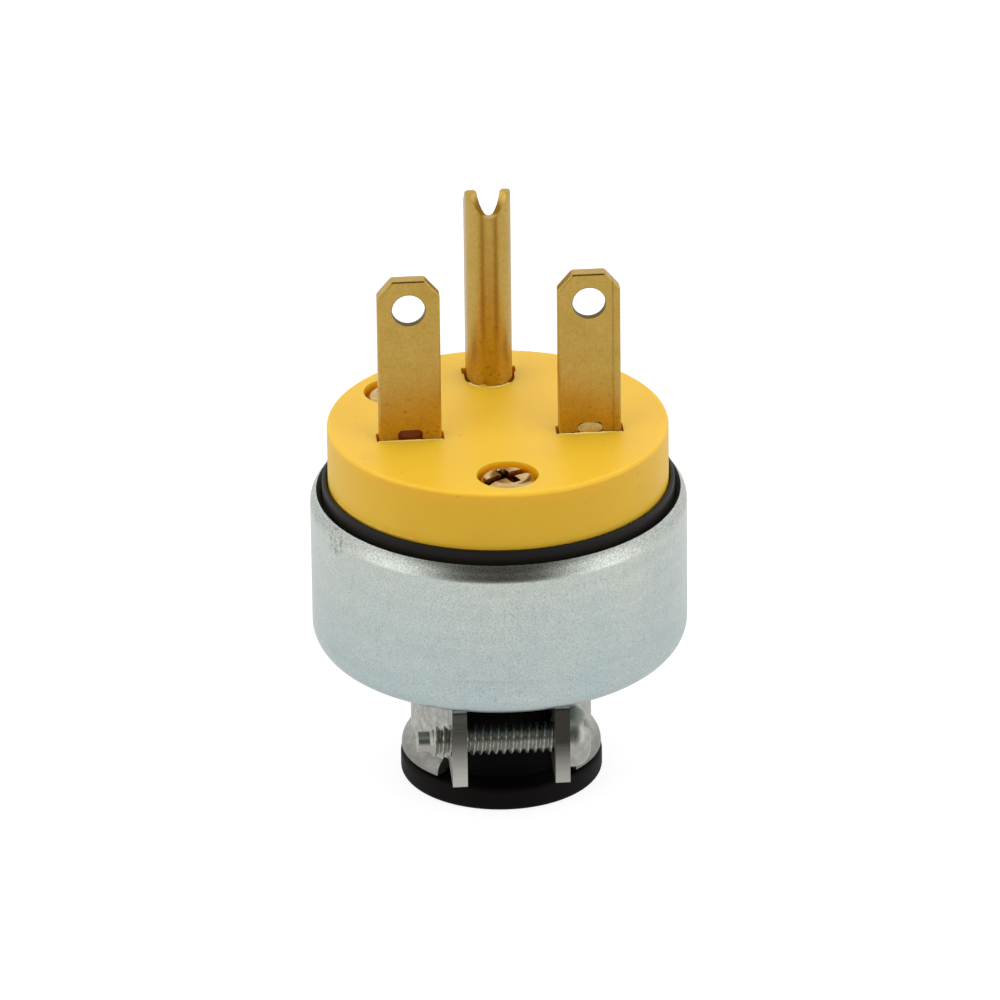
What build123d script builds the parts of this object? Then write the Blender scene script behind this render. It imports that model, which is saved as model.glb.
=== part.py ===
from build123d import *

import os
from math import acos, cos, degrees, radians, sin, sqrt, tan

os.makedirs("parts", exist_ok=True)

# Armoured cord plug, standing on its cord end with the blades up.
# Millimetres and degrees. Z runs up the axis from the foot, X along the line of the two blades,
# and the ground pin stands on the +Y side.

# Clearances between pieces.
fit_gap = 0.1
slot_gap = 0.25
post_gap = 0.3
clamp_gap = 0.3
thread_gap = 0.05
clearance_hole_gap = 0.25

# How near an edge or a corner lies to the place it is picked by.
pick_range = 0.1

# Cord grommet: a rubber sleeve. Its flange is the foot, its collar is held inside the shell.
flange_radius = 10.4
flange_height = 2.45
flange_round = 0.5
neck_radius = 7.5
neck_length = 12.3
cord_hole_radius = 6.0
cord_mouth = 0.5
collar_reach = 2.0
collar_height = 1.6

# Steel shell: a drawn cup with a hole in its floor and a rim that is rolled in.
shell_sheet = 0.8
shell_wall_height = 15.9
shell_floor_round = 2.8
rim_round = 1.0

# Insulating liner: a moulded cup whose lip shows above the rim.
lip_wall = 0.5
lip_rise = 2.65
lip_round = 0.22
lip_shoulder = 0.35
liner_wall = 1.75
liner_floor = 3.0

# Face body: the moulded disc that carries the blades, with posts and barriers behind it.
face_radius = 17.4
face_rise = 6.1
face_seat_depth = 1.6
face_thickness = 8.5
face_edge_round = 0.4
barrier_wall = 1.6
barrier_depth = 5.5
post_radius = 3.3
post_depth = 4.3

# Face screws: pan heads sunk in the face.
screw_circle_radius = 12.85
screw_angles = (-90, 39, 141)
face_screw_radius = 1.5
face_screw_length = 15.6
face_head_radius = 2.9
face_head_height = 1.7
face_head_sink = 0.9
counterbore_radius = 3.15
head_round = 0.6
driver_slot_width = 0.8
driver_slot_depth = 0.9

# Line blades: flat strips, each with a wide terminal end behind the face.
blade_spacing = 18.256
blade_line_y = -2.9
blade_width = 6.35
blade_thickness = 1.5
blade_length = 17.55
tip_cut_across = 1.5
tip_cut_down = 1.75
tip_corner_round = 0.4
edge_round = 0.22
blade_hole_radius = 1.68
blade_hole_drop = 3.2
hole_back_radius = 2.1
hole_front_depth = 0.75
window_width = 2.5
window_height = 3.0
window_show = 1.05
window_round = 0.5
line_terminal_width = 9.0
terminal_height = 9.1
terminal_corner = 1.5

# Ground pin: brass sheet folded to a U, open towards the edge of the face.
pin_offset = 13.5
pin_width = 4.67
pin_sheet = 0.9
pin_leg = 2.2
pin_length = 21.2
pin_notch_depth = 2.4
pin_notch_slope = 49.7
pin_notch_round = 1.38
pin_notch_near = 0.25
pin_notch_far = 1.25
pin_tip_round = 0.5
pin_lead_start = 2.0
pin_lead_slope = 40
pin_heel = 1.0
ground_slot_step = 0.2
ground_slot_step_back = 1.0
ground_terminal_width = 7.6

# Terminal screws, one in each blade and one in the ground pin.
terminal_screw_drop = 4.9
terminal_screw_radius = 2.0
terminal_head_radius = 3.4
terminal_head_height = 2.0
terminal_screw_past = 3.0
stop_width = 6.0
stop_depth = 2.6

# Cord clamp: two alike saddles stamped from sheet, drawn together by two screws.
clamp_sheet = 1.5
clamp_headroom = 1.2
ear_spacing = 9.0
ear_bend = 0.6
ear_lift = 2.25
ear_corner = 0.5
ear_margin = 3.1
skirt_drop = 1.8
skirt_flare = 1.0
skirt_half_span = 46
clamp_screw_radius = 1.6
clamp_screw_drop = 4.9
clamp_head_radius = 3.2
clamp_head_height = 2.3
clamp_head_round = 1.4
clamp_screw_length = 15.45
dog_point_radius = 1.1
dog_point_length = 1.3

# Heights up the axis.
shell_floor_z = flange_height + neck_length
inside_floor_z = shell_floor_z + shell_sheet
liner_floor_z = inside_floor_z + liner_floor
rim_turn_z = shell_floor_z + shell_wall_height
lip_top_z = rim_turn_z + lip_rise
seat_z = lip_top_z - face_seat_depth
face_z = lip_top_z + face_rise
face_back_z = face_z - face_thickness
post_bottom_z = face_back_z - post_depth
boss_top_z = post_bottom_z - post_gap
terminal_bottom_z = face_back_z - terminal_height
terminal_screw_z = face_back_z - terminal_screw_drop
stop_top_z = terminal_bottom_z - fit_gap
clamp_top_z = shell_floor_z - clamp_headroom
ear_bottom_z = flange_height + ear_lift
clamp_screw_z = clamp_top_z - clamp_screw_drop

# Radii, from the face outwards to the shell and from the cord outwards to the clamp.
lip_inner_radius = face_radius + fit_gap
lip_outer_radius = lip_inner_radius + lip_wall
liner_radius = lip_outer_radius + lip_shoulder
liner_bore_radius = liner_radius - liner_wall
shell_inner_radius = liner_radius + fit_gap
shell_radius = shell_inner_radius + shell_sheet
spigot_radius = liner_bore_radius - fit_gap
shell_hole_radius = neck_radius + fit_gap
collar_radius = neck_radius + collar_reach
boss_radius = liner_bore_radius - screw_circle_radius + fit_gap
floor_inner_round = shell_floor_round - shell_sheet
clamp_inner_radius = neck_radius + clamp_gap
clamp_outer_radius = clamp_inner_radius + clamp_sheet

# The rim is rolled in until its edge clears the lip, and the liner's shoulder fills the roll.
rim_centre_radius = shell_inner_radius - rim_round
rim_turn = degrees(acos((lip_outer_radius + fit_gap - rim_centre_radius) / rim_round))
shoulder_round = rim_round - fit_gap
shoulder_turn = degrees(acos((lip_outer_radius - rim_centre_radius) / shoulder_round))

# Places across the face.
blade_x = blade_spacing / 2
pin_y = blade_line_y + pin_offset
pin_radius = pin_width / 2
pin_front_y = pin_y - pin_radius
blade_front_y = blade_line_y - blade_thickness / 2
blade_back_y = blade_line_y + blade_thickness / 2
screw_spots = [
    (screw_circle_radius * cos(radians(angle)), screw_circle_radius * sin(radians(angle)))
    for angle in screw_angles
]


# Cord grommet, turned about the axis.
with BuildPart() as cord_grommet:
    with BuildSketch(Plane.XZ):
        with BuildLine():
            Polyline(
                (cord_hole_radius, 0),
                (flange_radius, 0),
                (flange_radius, flange_height),
                (neck_radius, flange_height),
                (neck_radius, inside_floor_z),
                (collar_radius, inside_floor_z),
                (collar_radius, inside_floor_z + collar_height),
                (cord_hole_radius, inside_floor_z + collar_height),
                close=True,
            )
        make_face()
    revolve(axis=Axis.Z)
    rings = cord_grommet.edges().filter_by(GeomType.CIRCLE)
    fillet(rings.filter_by(lambda ring: abs(ring.radius - flange_radius) < pick_range), flange_round)
    mouth = cord_grommet.edges().filter_by(GeomType.CIRCLE).group_by(Axis.Z)[0].sort_by(SortBy.RADIUS)[0]
    chamfer(mouth, cord_mouth)
cord_grommet.part.label = "cord_grommet"
export_step(cord_grommet.part, "parts/cord_grommet.step")


# Steel shell: one sheet thickness from the hole in the floor to the edge of the rolled rim.
with BuildPart() as steel_shell:
    with BuildSketch(Plane.XZ):
        with BuildLine():
            outer_floor = Line(
                (shell_hole_radius, shell_floor_z),
                (shell_radius - shell_floor_round, shell_floor_z),
            )
            outer_corner = JernArc(outer_floor @ 1, (1, 0), shell_floor_round, 90)
            outer_wall = Line(outer_corner @ 1, (shell_radius, rim_turn_z))
            outer_rim = JernArc(outer_wall @ 1, (0, 1), rim_round + shell_sheet, rim_turn)
            inner_rim = JernArc((shell_inner_radius, rim_turn_z), (0, 1), rim_round, rim_turn)
            Line(outer_rim @ 1, inner_rim @ 1)
            inner_floor = Line(
                (shell_hole_radius, inside_floor_z),
                (shell_radius - shell_floor_round, inside_floor_z),
            )
            inner_corner = JernArc(inner_floor @ 1, (1, 0), floor_inner_round, 90)
            Line(inner_corner @ 1, inner_rim @ 0)
            Line(outer_floor @ 0, inner_floor @ 0)
        make_face()
    revolve(axis=Axis.Z)
steel_shell.part.label = "steel_shell"
export_step(steel_shell.part, "parts/steel_shell.step")


# Insulating liner: a cup with a ledge for the face, bosses for the face screws
# and low stops under the ends of the blades and the pin.
with BuildPart() as insulating_liner:
    with BuildSketch(Plane.XZ):
        with BuildLine():
            recess_radius = collar_radius + fit_gap
            recess_z = inside_floor_z + collar_height + fit_gap
            wire_hole_radius = cord_hole_radius + fit_gap
            under = Polyline(
                (wire_hole_radius, recess_z),
                (recess_radius, recess_z),
                (recess_radius, inside_floor_z),
                (liner_radius - floor_inner_round, inside_floor_z),
            )
            corner = JernArc(under @ 1, (1, 0), floor_inner_round, 90)
            wall = Line(corner @ 1, (liner_radius, rim_turn_z))
            shoulder = JernArc(wall @ 1, (0, 1), shoulder_round, shoulder_turn)
            Polyline(
                shoulder @ 1,
                (lip_outer_radius, lip_top_z),
                (lip_inner_radius, lip_top_z),
                (lip_inner_radius, seat_z),
                (liner_bore_radius, seat_z),
                (liner_bore_radius, liner_floor_z),
                (wire_hole_radius, liner_floor_z),
                under @ 0,
            )
        make_face()
    revolve(axis=Axis.Z)
    top_rings = insulating_liner.edges().filter_by(GeomType.CIRCLE).group_by(Axis.Z)[-1]
    fillet(top_rings, lip_round)
    with BuildSketch(Plane.XY.offset(liner_floor_z)):
        with Locations(*screw_spots):
            Circle(boss_radius)
    extrude(amount=boss_top_z - liner_floor_z)
    with BuildSketch(Plane.XY.offset(liner_floor_z)):
        with Locations((-blade_x, blade_line_y), (blade_x, blade_line_y)):
            Rectangle(stop_width, stop_depth)
        with Locations((0, pin_front_y + pin_sheet / 2)):
            Rectangle(stop_width, stop_depth)
    extrude(amount=stop_top_z - liner_floor_z)
    with Locations(*[(x, y, boss_top_z) for x, y in screw_spots]):
        Hole(face_screw_radius + thread_gap, depth=boss_top_z - liner_floor_z)
insulating_liner.part.label = "insulating_liner"
export_step(insulating_liner.part, "parts/insulating_liner.step")


# Face body: a disc that sits on the liner's ledge, with a spigot inside the liner,
# three screw posts and the barriers that part the wires.
with BuildPart() as face_body:
    with BuildSketch(Plane.XY.offset(seat_z)):
        Circle(face_radius)
    extrude(amount=face_z - seat_z)
    fillet(face_body.edges().group_by(Axis.Z)[-1], face_edge_round)
    with BuildSketch(Plane.XY.offset(face_back_z)):
        Circle(spigot_radius)
    extrude(amount=seat_z - face_back_z)
    with BuildSketch(Plane.XY.offset(face_back_z)):
        for angle in screw_angles:
            Rectangle(
                screw_circle_radius, barrier_wall, rotation=angle, align=(Align.MIN, Align.CENTER)
            )
    extrude(amount=-barrier_depth)
    with BuildSketch(Plane.XY.offset(face_back_z)):
        with Locations(*screw_spots):
            Circle(post_radius)
    extrude(amount=-post_depth)
    with BuildSketch(Plane.XY.offset(post_bottom_z)):
        with Locations(*screw_spots):
            Circle(boss_radius + post_gap)
    extrude(amount=-barrier_depth, mode=Mode.SUBTRACT)
    with BuildSketch(Plane.XY.offset(face_z)):
        with Locations((-blade_x, blade_line_y), (blade_x, blade_line_y)):
            Rectangle(blade_width + 2 * slot_gap, blade_thickness + 2 * slot_gap)
        with BuildLine():
            slot_half = pin_radius + slot_gap
            slot_back_y = pin_y + pin_leg + slot_gap
            slot_front = JernArc((-slot_half, pin_y), (0, -1), slot_half, 180)
            Polyline(
                slot_front @ 1, (slot_half, slot_back_y), (-slot_half, slot_back_y), slot_front @ 0
            )
        make_face()
        with Locations((0, pin_y + ground_slot_step_back)):
            Rectangle(
                2 * (slot_half + ground_slot_step),
                slot_back_y - pin_y - ground_slot_step_back,
                align=(Align.CENTER, Align.MIN),
            )
    extrude(amount=-face_thickness, mode=Mode.SUBTRACT)
    with Locations(*[(x, y, face_z) for x, y in screw_spots]):
        CounterBoreHole(
            face_screw_radius + clearance_hole_gap,
            counterbore_radius,
            face_head_sink + face_head_height,
            depth=face_z - post_bottom_z,
        )
face_body.part.label = "face_body"
export_step(face_body.part, "parts/face_body.step")


# Face screws: pan head with a cross recess, long shank down into the liner's boss.
with BuildPart() as face_screw:
    with BuildSketch(Plane.XZ):
        Rectangle(face_head_radius, face_head_height, align=(Align.MIN, Align.MIN))
        Rectangle(face_screw_radius, face_screw_length, align=(Align.MIN, Align.MAX))
    revolve(axis=Axis.Z)
    fillet(face_screw.edges().filter_by(GeomType.CIRCLE).group_by(Axis.Z)[-1], head_round)
    with BuildSketch(Plane.XY.offset(face_head_height)):
        Rectangle(2 * face_head_radius, driver_slot_width)
        Rectangle(driver_slot_width, face_head_radius)
    extrude(amount=-driver_slot_depth, mode=Mode.SUBTRACT)
with BuildPart() as face_screws:
    head_seat_z = face_z - face_head_sink - face_head_height
    with Locations(*[(x, y, head_seat_z) for x, y in screw_spots]):
        add(face_screw.part)
face_screws.part.label = "face_screws"
export_step(face_screws.part, "parts/face_screws.step")


# Line blades: stamped flat. Shoulders bear on the back of the face.
for side, name in ((-1, "line_blade_left"), (1, "line_blade_right")):
    with BuildPart() as line_blade:
        centre_x = side * blade_x
        tip_z = face_z + blade_length
        with BuildSketch(Plane.XZ.offset(-blade_line_y)) as blank:
            with Locations((centre_x, face_back_z)):
                Rectangle(blade_width, tip_z - face_back_z, align=(Align.CENTER, Align.MIN))
            chamfer(blank.vertices().group_by(Axis.Y)[-1], tip_cut_down, tip_cut_across)
            fillet(blank.vertices().filter_by(lambda corner: corner.Y > face_z), tip_corner_round)
            with Locations((centre_x, face_back_z)):
                Rectangle(line_terminal_width, terminal_height, align=(Align.CENTER, Align.MAX))
            chamfer(blank.vertices().group_by(Axis.Y)[0], terminal_corner)
            with Locations((centre_x, terminal_screw_z)):
                Circle(terminal_screw_radius + thread_gap, mode=Mode.SUBTRACT)
        extrude(amount=blade_thickness / 2, both=True)
        rim = line_blade.edges().filter_by(
            lambda edge: edge.center().Z > face_z and abs(edge.tangent_at(0).Y) < pick_range
        )
        fillet(rim, edge_round)
        # The hole is wider behind, so that only a thin front rim shows.
        with Locations(Location((centre_x, blade_back_y, tip_z - blade_hole_drop), (-90, 0, 0))):
            CounterBoreHole(blade_hole_radius, hole_back_radius, blade_thickness - hole_front_depth)
        # A window runs through the blade where it enters the face.
        with BuildSketch(Plane.XZ.offset(-blade_line_y)):
            with Locations((centre_x, face_z + window_show - window_height / 2)):
                RectangleRounded(window_width, window_height, window_round)
        extrude(amount=blade_thickness, both=True, mode=Mode.SUBTRACT)
    line_blade.part.label = name
    export_step(line_blade.part, f"parts/{name}.step")


# Ground pin: the U runs through the face, and its web widens to a flat terminal behind it.
with BuildPart() as ground_pin:
    heel_z = face_back_z - pin_heel
    pin_tip_z = face_z + pin_length
    fold_radius = pin_radius - pin_sheet / 2
    leg_end_y = pin_y + pin_leg
    with BuildSketch(Plane.XY.offset(heel_z)):
        with BuildLine():
            left_leg = Line((-fold_radius, leg_end_y), (-fold_radius, pin_y))
            fold = JernArc(left_leg @ 1, (0, -1), fold_radius, 180)
            Line(fold @ 1, (fold_radius, leg_end_y))
        trace(line_width=pin_sheet)
    extrude(amount=pin_tip_z - heel_z)
    tip_rim = ground_pin.edges().group_by(Axis.Z)[-1].filter_by(
        lambda edge: abs(abs(edge.center().X) - pin_radius) < pick_range
        or edge.center().Y < pin_front_y + pick_range
    )
    fillet(tip_rim, pin_tip_round)
    # The ends of the legs fall away to the back.
    lead_y = pin_front_y + pin_lead_start
    lead_drop = (leg_end_y - lead_y) * tan(radians(pin_lead_slope))
    with BuildSketch(Plane.YZ):
        Polygon((lead_y, pin_tip_z), (leg_end_y, pin_tip_z - lead_drop), (leg_end_y, pin_tip_z), align=None)
    extrude(amount=pin_width, both=True, mode=Mode.SUBTRACT)
    # The tip has a V notch with a round bottom. It was punched in the flat strip, so that its walls
    # point to the axis of the fold. The cutter runs from near to far, in parts of the pin's radius.
    notch_drop = pin_notch_depth + pin_notch_round * (1 / sin(radians(pin_notch_slope)) - 1)
    notch_half = notch_drop * tan(radians(pin_notch_slope))
    for reach in (pin_notch_near, pin_notch_far):
        with BuildSketch(Plane.XZ.offset(reach * pin_radius - pin_y)) as notch:
            Polygon(
                (-notch_half, pin_tip_z), (0, pin_tip_z - notch_drop), (notch_half, pin_tip_z), align=None
            )
            fillet(notch.vertices().group_by(Axis.Y)[0], pin_notch_round)
            scale(by=(reach, 1, 1))
    loft(mode=Mode.SUBTRACT)
    with BuildSketch(Plane.XZ.offset(-pin_front_y)):
        with Locations((0, face_back_z)):
            Rectangle(ground_terminal_width, terminal_height, align=(Align.CENTER, Align.MAX))
        with Locations((0, terminal_screw_z)):
            Circle(terminal_screw_radius + thread_gap, mode=Mode.SUBTRACT)
    extrude(amount=-pin_sheet)
    foot_corners = ground_pin.edges().filter_by(Axis.Y).group_by(Axis.Z)[0]
    chamfer(foot_corners, terminal_corner)
ground_pin.part.label = "ground_pin"
export_step(ground_pin.part, "parts/ground_pin.step")


# Terminal screws: binding heads on the front of each terminal, shanks through it.
with BuildPart() as terminal_screw:
    with BuildSketch(Plane.XZ):
        Rectangle(terminal_head_radius, terminal_head_height, align=(Align.MIN, Align.MIN))
        Rectangle(
            terminal_screw_radius, blade_thickness + terminal_screw_past, align=(Align.MIN, Align.MAX)
        )
    revolve(axis=Axis.Z)
    fillet(terminal_screw.edges().filter_by(GeomType.CIRCLE).group_by(Axis.Z)[-1], head_round)
    with BuildSketch(Plane.XY.offset(terminal_head_height)):
        Rectangle(2 * terminal_head_radius, driver_slot_width)
    extrude(amount=-driver_slot_depth, mode=Mode.SUBTRACT)
with BuildPart() as line_terminal_screws:
    with Locations(
        Location((-blade_x, blade_front_y, terminal_screw_z), (90, 0, 0)),
        Location((blade_x, blade_front_y, terminal_screw_z), (90, 0, 0)),
    ):
        add(terminal_screw.part)
line_terminal_screws.part.label = "line_terminal_screws"
export_step(line_terminal_screws.part, "parts/line_terminal_screws.step")
with BuildPart() as ground_terminal_screw:
    with Locations(Location((0, pin_front_y, terminal_screw_z), (90, 0, 0))):
        add(terminal_screw.part)
ground_terminal_screw.part.label = "ground_terminal_screw"
export_step(ground_terminal_screw.part, "parts/ground_terminal_screw.step")


# Cord clamp: each half is a saddle round the neck, with an ear at both ends and a joggled skirt
# just above the flange. One ear is tapped and the other has a clearance hole.
ear_inner_x = ear_spacing / 2
ear_outer_x = ear_inner_x + clamp_sheet
ear_inner_root_y = sqrt(clamp_inner_radius**2 - ear_inner_x**2)
ear_outer_root_y = sqrt(clamp_outer_radius**2 - ear_outer_x**2)
clamp_screw_y = ear_outer_root_y + ear_bend + clamp_head_radius
ear_end_y = clamp_screw_y + ear_margin
with BuildPart() as clamp_half_left:
    with BuildSketch(Plane.XY.offset(ear_bottom_z)) as saddle:
        Circle(clamp_outer_radius)
        Circle(clamp_inner_radius, mode=Mode.SUBTRACT)
        with Locations((-ear_inner_x, 0)):
            Rectangle(
                clamp_outer_radius,
                2 * clamp_outer_radius,
                align=(Align.MAX, Align.CENTER),
                mode=Mode.INTERSECT,
            )
        ear_start_y = (ear_inner_root_y + ear_outer_root_y) / 2
        for end in (-1, 1):
            with Locations((-ear_inner_x - clamp_sheet / 2, end * (ear_start_y + ear_end_y) / 2)):
                Rectangle(clamp_sheet, ear_end_y - ear_start_y)
        fillet(
            saddle.vertices().filter_by(
                lambda corner: abs(abs(corner.Y) - ear_outer_root_y) < pick_range
                and abs(corner.X + ear_outer_x) < pick_range
            ),
            ear_bend,
        )
        fillet(
            saddle.vertices().filter_by(
                lambda corner: abs(abs(corner.Y) - ear_inner_root_y) < pick_range
                and abs(corner.X + ear_inner_x) < pick_range
            ),
            ear_bend + clamp_sheet,
        )
    extrude(amount=clamp_top_z - ear_bottom_z)
    ear_corners = clamp_half_left.edges().filter_by(Axis.X).filter_by(
        lambda edge: abs(abs(edge.center().Y) - ear_end_y) < pick_range
    )
    fillet(ear_corners, ear_corner)
    skirt_start = radians(180 - skirt_half_span)
    skirt_plane = Plane(
        origin=(0, 0, 0),
        x_dir=(cos(skirt_start), sin(skirt_start), 0),
        z_dir=(sin(skirt_start), -cos(skirt_start), 0),
    )
    # The skirt steps out by two equal and opposite bends.
    joggle_turn = 2 * degrees(acos(skirt_drop / sqrt(skirt_drop**2 + skirt_flare**2)))
    joggle_round = skirt_drop / (2 * sin(radians(joggle_turn)))
    near_round = joggle_round - clamp_sheet / 2
    far_round = joggle_round + clamp_sheet / 2
    with BuildSketch(skirt_plane):
        with BuildLine():
            outer_out = JernArc((clamp_outer_radius, ear_bottom_z), (0, -1), near_round, joggle_turn)
            outer_back = JernArc(outer_out @ 1, outer_out % 1, far_round, -joggle_turn)
            inner_out = JernArc((clamp_inner_radius, ear_bottom_z), (0, -1), far_round, joggle_turn)
            inner_back = JernArc(inner_out @ 1, inner_out % 1, near_round, -joggle_turn)
            Line(outer_out @ 0, inner_out @ 0)
            Line(outer_back @ 1, inner_back @ 1)
        make_face()
    revolve(axis=Axis.Z, revolution_arc=2 * skirt_half_span)
    with BuildSketch(Plane.YZ.offset(-ear_outer_x)):
        with Locations((-clamp_screw_y, clamp_screw_z)):
            Circle(clamp_screw_radius + thread_gap)
        with Locations((clamp_screw_y, clamp_screw_z)):
            Circle(clamp_screw_radius + clearance_hole_gap)
    extrude(amount=clamp_sheet, mode=Mode.SUBTRACT)
clamp_half_left.part.label = "clamp_half_left"
export_step(clamp_half_left.part, "parts/clamp_half_left.step")
with BuildPart() as clamp_half_right:
    add(clamp_half_left.part, rotation=(0, 0, 180))
clamp_half_right.part.label = "clamp_half_right"
export_step(clamp_half_right.part, "parts/clamp_half_right.step")


# Clamp screws: pan heads outside one ear, dog points past the other, one screw each way.
with BuildPart() as clamp_screw:
    with BuildSketch(Plane.XZ):
        Rectangle(clamp_head_radius, clamp_head_height, align=(Align.MIN, Align.MIN))
        Rectangle(
            clamp_screw_radius,
            clamp_screw_length - dog_point_length,
            align=(Align.MIN, Align.MAX),
        )
        Rectangle(dog_point_radius, clamp_screw_length, align=(Align.MIN, Align.MAX))
    revolve(axis=Axis.Z)
    fillet(clamp_screw.edges().filter_by(GeomType.CIRCLE).group_by(Axis.Z)[-1], clamp_head_round)
    with BuildSketch(Plane.XY.offset(clamp_head_height)):
        Rectangle(2 * clamp_head_radius, driver_slot_width)
        Rectangle(driver_slot_width, clamp_head_radius)
    extrude(amount=-driver_slot_depth, mode=Mode.SUBTRACT)
with BuildPart() as clamp_screws:
    with Locations(
        Location((ear_outer_x, -clamp_screw_y, clamp_screw_z), (0, 90, 0)),
        Location((-ear_outer_x, clamp_screw_y, clamp_screw_z), (0, -90, 0)),
    ):
        add(clamp_screw.part)
clamp_screws.part.label = "clamp_screws"
export_step(clamp_screws.part, "parts/clamp_screws.step")
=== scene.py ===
# %% [markdown]
# # An armoured cord plug in a white studio
# The plug stands on its cord end with the blades up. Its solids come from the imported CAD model
# and stay where they are. This script gives each of them a material, adds what the solids leave
# out, such as screw threads and moulding flash, and sets up the light and the camera.

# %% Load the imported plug
import math

import bpy
import numpy as np
from mathutils import Matrix, Vector


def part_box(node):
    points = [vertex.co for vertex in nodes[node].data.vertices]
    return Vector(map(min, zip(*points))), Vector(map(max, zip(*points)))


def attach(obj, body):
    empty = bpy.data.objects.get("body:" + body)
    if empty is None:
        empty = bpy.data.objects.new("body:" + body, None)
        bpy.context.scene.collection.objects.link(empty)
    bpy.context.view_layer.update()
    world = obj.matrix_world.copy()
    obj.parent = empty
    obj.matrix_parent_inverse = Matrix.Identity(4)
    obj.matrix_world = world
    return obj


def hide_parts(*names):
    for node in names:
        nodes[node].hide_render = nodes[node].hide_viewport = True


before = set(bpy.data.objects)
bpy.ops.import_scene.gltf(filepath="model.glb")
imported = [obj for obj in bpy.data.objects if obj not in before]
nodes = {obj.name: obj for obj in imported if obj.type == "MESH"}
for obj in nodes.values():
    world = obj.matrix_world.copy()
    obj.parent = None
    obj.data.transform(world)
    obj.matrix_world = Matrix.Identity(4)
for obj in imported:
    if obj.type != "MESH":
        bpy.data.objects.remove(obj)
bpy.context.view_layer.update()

MM = 0.001

# %% [markdown]
# ## The camera
# The picture was taken with a long lens from a little left of the front and well above it.
# Such a camera is given by the turn and the height it looks from, the distance, a small tilt
# of the frame and how many pixels one millimetre takes. A long lens keeps upright edges nearly
# parallel, which a short lens close to the plug would not.

# %% Camera
IMAGE_PIXELS = 1000
SENSOR = 36.0
view_turn = math.radians(-4.2)
view_height = math.radians(25.64)
frame_tilt = math.radians(-0.67)
view_distance = 1000 * MM
pixels_per_mm = 9.78
aim_height = 28.0 * MM
aim_right = 0.15 * MM
aim_up = 2.18 * MM

ahead = Vector((math.sin(view_turn), -math.cos(view_turn), 0))
level_right = Vector((math.cos(view_turn), math.sin(view_turn), 0))
back = ahead * math.cos(view_height) + Vector((0, 0, math.sin(view_height)))
level_up = back.cross(level_right)
right = level_right * math.cos(frame_tilt) + level_up * math.sin(frame_tilt)
up = level_up * math.cos(frame_tilt) - level_right * math.sin(frame_tilt)
place = Vector((0, 0, aim_height)) + level_right * aim_right + level_up * aim_up + back * view_distance

lens = bpy.data.cameras.new("studio_camera")
lens.sensor_width = SENSOR
lens.lens = SENSOR * pixels_per_mm * (view_distance / MM) / IMAGE_PIXELS
camera = bpy.data.objects.new("studio_camera", lens)
bpy.context.scene.collection.objects.link(camera)
camera.matrix_world = Matrix((
    (right.x, up.x, back.x, place.x),
    (right.y, up.y, back.y, place.y),
    (right.z, up.z, back.z, place.z),
    (0, 0, 0, 1),
))
bpy.context.scene.camera = camera
bpy.context.scene.view_settings.view_transform = "Standard"
print("lens in mm:", round(lens.lens, 1))

# %% [markdown]
# ## Helpers for materials
# Colours are written as the eye sees them on a screen, in sRGB hex, and Blender works in linear
# light, so one function turns the one into the other. A second one fills the inputs of a shader
# node, and a third adds a node and sets it up, so that each material below reads as a list of
# its layers.

# %% Colour and node helpers
def linear(hex_colour, alpha=1.0):
    """The sRGB curve undone: c/12.92 when dark, otherwise ((c + 0.055) / 1.055) to the power 2.4."""
    c = np.array([int(hex_colour[i:i + 2], 16) for i in (1, 3, 5)]) / 255
    flat = np.where(c <= 0.04045, c / 12.92, ((c + 0.055) / 1.055) ** 2.4)
    return (*[float(x) for x in flat], alpha)


def connect(node, inputs):
    """Fills a node's inputs: a plain value is set, a socket is linked, and so is a node's output in use."""
    for key, value in inputs.items():
        if isinstance(value, bpy.types.Node):
            value = next(output for output in value.outputs if output.enabled)
        if isinstance(value, bpy.types.NodeSocket):
            node.id_data.links.new(value, node.inputs[key])
        else:
            node.inputs[key].default_value = value


def layer(tree, kind, settings=None, inputs=None):
    """Adds one node: settings are its own properties, inputs are what goes into it."""
    made = tree.nodes.new(kind)
    for name, value in (settings or {}).items():
        setattr(made, name, value)
    connect(made, inputs or {})
    return made


def per_metre(size_mm):
    """A texture's scale that gives features of about this many millimetres."""
    return 1 / (size_mm * MM)


def start_material(name):
    """An empty material with its output, its Principled shader and Object coordinates."""
    material = bpy.data.materials.new(name)
    material.use_nodes = True
    tree = material.node_tree
    tree.nodes.clear()
    shader = layer(tree, "ShaderNodeBsdfPrincipled")
    layer(tree, "ShaderNodeOutputMaterial", inputs={"Surface": shader})
    here = layer(tree, "ShaderNodeTexCoord").outputs["Object"]
    return material, tree, shader, here


# Node kinds and settings that come up again and again, and the sockets of a Mix node for colours.
NOISE, RANGE, MIX, BUMP, MATH = (
    "ShaderNodeTexNoise", "ShaderNodeMapRange", "ShaderNodeMix", "ShaderNodeBump", "ShaderNodeMath",
)
COLOURS = {"data_type": "RGBA"}
SMOOTH = {"interpolation_type": "SMOOTHSTEP"}
MIX_A, MIX_B = 6, 7
print("yellow in linear light:", [round(x, 3) for x in linear("#EAB610")[:3]])

# %% [markdown]
# ## The white studio
# The plug stands on a white sweep that the exposure turns to plain white. The floor is a grey
# diffuser with light of its own for the camera, and less of it for mirrors, so it looks white,
# still takes a faint soft shadow, and shows in the metal as a light grey. The room is white too,
# apart from the side the camera stands on: that is dark from the horizon to overhead, and bright
# metal shows it as a dark band wherever it leans back, such as on the rolled rim, with bright
# streaks beside the band where the lamps stand. Big soft boxes light the plug from both sides of
# the front and from above.

# %% Floor
floor_half = 3.0
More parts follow.
